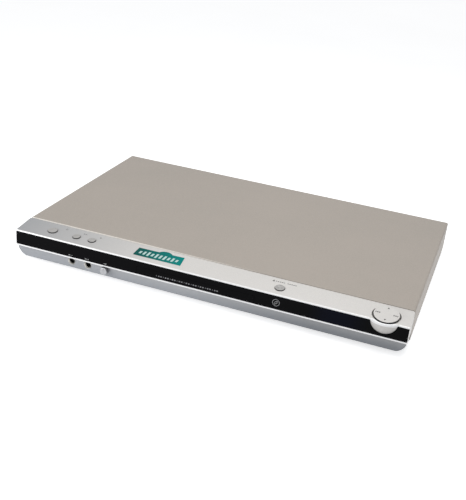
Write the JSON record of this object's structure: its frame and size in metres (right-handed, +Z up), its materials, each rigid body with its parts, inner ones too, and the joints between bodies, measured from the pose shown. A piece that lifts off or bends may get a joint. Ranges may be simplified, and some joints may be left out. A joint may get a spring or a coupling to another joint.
{
  "type": "disc player",
  "caption": "Slim full-width disc player with a motor-driven tray, tilting pickup traverse, four ledge keys, tilting pad, front jacks and volume knob.",
  "frame": {"origin": "on the surface under the feet, in the middle of the overall width and depth", "axes": "+X to the player's right as seen from its front, +Y from front to rear, +Z up"},
  "size_m": [0.43, 0.2899, 0.0403],
  "materials": {
    "zinc_steel": "zinc-plated sheet",
    "cover_paint": "fine metallic powder coat",
    "screw_steel": "plated",
    "foot_rubber": "matte",
    "silver_lacquer": "satin silver lacquer",
    "smoked_acrylic": "gloss",
    "label_film": "gloss",
    "key_silver": "satin",
    "pad_plastic": "satin",
    "knob_plastic": "satin",
    "black_nylon": "moulded",
    "circuit_board": "solder mask",
    "plated_brass": "nickel plated",
    "tube_glass": "glass tube on its board",
    "tray_plastic": "fine texture",
    "white_acetal": "moulded",
    "belt_rubber": "matte",
    "damper_rubber": "matte",
    "polished_steel": "ground",
    "cast_alloy": "die cast",
    "lens_acrylic": "coated lens in its holder",
    "magnet_iron": "sintered",
    "chip_epoxy": "moulded",
    "transformer_iron": "wound and taped",
    "sleeve_film": "shrink sleeve",
    "extruded_alloy": "extruded",
    "inlet_plastic": "moulded",
    "jack_plastic": "moulded, with plated shells",
    "ribbon_film": "flat film"
  },
  "bodies": {
    "player": {"audio_jacks": "jack_plastic", "board_chips": "chip_epoxy", "capacitors": "sleeve_film", "chassis_base": "zinc_steel", "clamp_bridge": "zinc_steel", "component_jacks": "jack_plastic", "cover_screws": "screw_steel", "display_module": "tube_glass", "drive_belt": "belt_rubber", "feet": "foot_rubber", "front_bezel": "silver_lacquer", "front_strip": "smoked_acrylic", "heat_sink": "extruded_alloy", "inner_screws": "screw_steel", "jack_sleeves": "plated_brass", "ledge_key_boards": "circuit_board", "ledge_label": "label_film", "loader_frame": "black_nylon", "loading_motor": "zinc_steel", "main_board": "circuit_board", "mic_board": "circuit_board", "mic_jack_1": "black_nylon", "mic_jack_2": "black_nylon", "pad_key_board": "circuit_board", "power_board": "circuit_board", "power_inlet": "inlet_plastic", "rear_panel": "zinc_steel", "ribbon_cables": "ribbon_film", "svideo_jack": "jack_plastic", "top_cover": "cover_paint", "transformer": "transformer_iron", "video_jacks": "jack_plastic", "volume_pot": "zinc_steel"},
    "tray": {"disc_tray": "tray_plastic", "tray_door": "smoked_acrylic"},
    "pinion": {"pinion_gear": "white_acetal"},
    "pulley": {"pulley_gear": "white_acetal"},
    "small_pulley": {"motor_pulley": "white_acetal"},
    "traverse": {"traverse_holder": "black_nylon", "rubber_dampers": "damper_rubber", "deck_chassis": "zinc_steel", "spindle_motor": "zinc_steel", "guide_rods": "polished_steel", "sled_motor": "zinc_steel"},
    "platter": {"turntable": "black_nylon", "turntable_ring": "damper_rubber"},
    "sled": {"pickup_sled": "cast_alloy"},
    "lens": {"objective_lens": "lens_acrylic"},
    "screw": {"lead_screw": "polished_steel"},
    "cam": {"cam_slider": "white_acetal"},
    "clamper": {"disc_clamper": "white_acetal", "clamper_magnet": "magnet_iron"},
    "power_key": {"power_button": "key_silver"},
    "left_key": {"left_small_button": "key_silver"},
    "right_key": {"right_small_button": "key_silver"},
    "eject_key": {"eject_button": "key_silver"},
    "gimbal": {"pad_gimbal": "black_nylon"},
    "pad": {"nav_pad": "pad_plastic"},
    "knob": {"volume_knob": "knob_plastic"}
  },
  "joints": [
    {"name": "tray_slide", "type": "slide", "parent": "player", "child": "tray", "axis": [0, -1, 0], "range_m": [0, 0.138]},
    {"name": "pinion_spin", "type": "hinge", "parent": "player", "child": "pinion", "pos_m": [-0.05485, -0.113, 0.01], "axis": [0, 0, 1], "range_deg": [-10, 1330]},
    {"name": "pulley_spin", "type": "hinge", "parent": "player", "child": "pulley", "pos_m": [-0.03856, -0.113, 0.012], "axis": [0, 0, 1], "range_deg": [-3780, 10]},
    {"name": "motor_pulley_spin", "type": "hinge", "parent": "player", "child": "small_pulley", "pos_m": [-0.017, -0.113, 0.014], "axis": [0, 0, 1], "range_deg": [-12930, 10]},
    {"name": "traverse_lift", "type": "hinge", "parent": "player", "child": "traverse", "pos_m": [-0.005, 0.0275, 0.0172], "axis": [-1, 0, 0], "range_deg": [0, 3.62]},
    {"name": "cam_slide", "type": "slide", "parent": "player", "child": "cam", "axis": [-1, 0, 0], "range_m": [-0.0001, 0.0121]},
    {"name": "turntable_spin", "type": "hinge", "parent": "traverse", "child": "platter", "pos_m": [-0.005, -0.06763, 0.01619], "axis": [0, -0.0632, 0.998], "continuous": true},
    {"name": "sled_slide", "type": "slide", "parent": "traverse", "child": "sled", "axis": [0, 0.998, 0.0632], "range_m": [0, 0.034]},
    {"name": "lead_screw_spin", "type": "hinge", "parent": "traverse", "child": "screw", "pos_m": [0.026, -0.01223, 0.01168], "axis": [0, 0.998, 0.0632], "range_deg": [-10, 4100]},
    {"name": "lens_focus", "type": "slide", "parent": "sled", "child": "lens", "axis": [0, -0.0632, 0.998], "range_m": [-0.0005, 0.0005], "stiffness_N_per_m": 40},
    {"name": "clamper_spin", "type": "hinge", "parent": "player", "child": "clamper", "pos_m": [-0.005, -0.0675, 0.026], "axis": [0, 0, 1], "continuous": true},
    {"name": "power_press", "type": "slide", "parent": "player", "child": "power_key", "axis": [0, 0.1157, -0.9933], "range_m": [0, 0.0006], "stiffness_N_per_m": 300, "springref_m": -0.0004},
    {"name": "left_press", "type": "slide", "parent": "player", "child": "left_key", "axis": [0, 0.1157, -0.9933], "range_m": [0, 0.0006], "stiffness_N_per_m": 300, "springref_m": -0.0004},
    {"name": "right_press", "type": "slide", "parent": "player", "child": "right_key", "axis": [0, 0.1157, -0.9933], "range_m": [0, 0.0006], "stiffness_N_per_m": 300, "springref_m": -0.0004},
    {"name": "eject_press", "type": "slide", "parent": "player", "child": "eject_key", "axis": [0, 0.1157, -0.9933], "range_m": [0, 0.0006], "stiffness_N_per_m": 300, "springref_m": -0.0004},
    {"name": "nav_tilt_x", "type": "hinge", "parent": "player", "child": "gimbal", "pos_m": [0.1902, -0.12831, 0.03346], "axis": [1, 0, 0], "range_deg": [-2.5, 2.5], "stiffness_Nm_per_rad": 0.15},
    {"name": "nav_tilt_y", "type": "hinge", "parent": "gimbal", "child": "pad", "pos_m": [0.1902, -0.12831, 0.03346], "axis": [0, 0.9812, 0.1932], "range_deg": [-2.5, 2.5], "stiffness_Nm_per_rad": 0.15},
    {"name": "volume_turn", "type": "hinge", "parent": "player", "child": "knob", "pos_m": [-0.1076, -0.14, 0.0123], "axis": [0, -1, 0], "range_deg": [-140, 140]}
  ],
  "couplings": [
    {"joint": "pinion_spin", "follows": "tray_slide", "rad_per_m": 166.67},
    {"joint": "pulley_spin", "follows": "tray_slide", "rad_per_m": -476.19},
    {"joint": "motor_pulley_spin", "follows": "tray_slide", "rad_per_m": -1632.7},
    {"joint": "cam_slide", "follows": "traverse_lift", "m_per_rad": 0.18987},
    {"joint": "lead_screw_spin", "follows": "sled_slide", "rad_per_m": 2094.4}
  ]
}
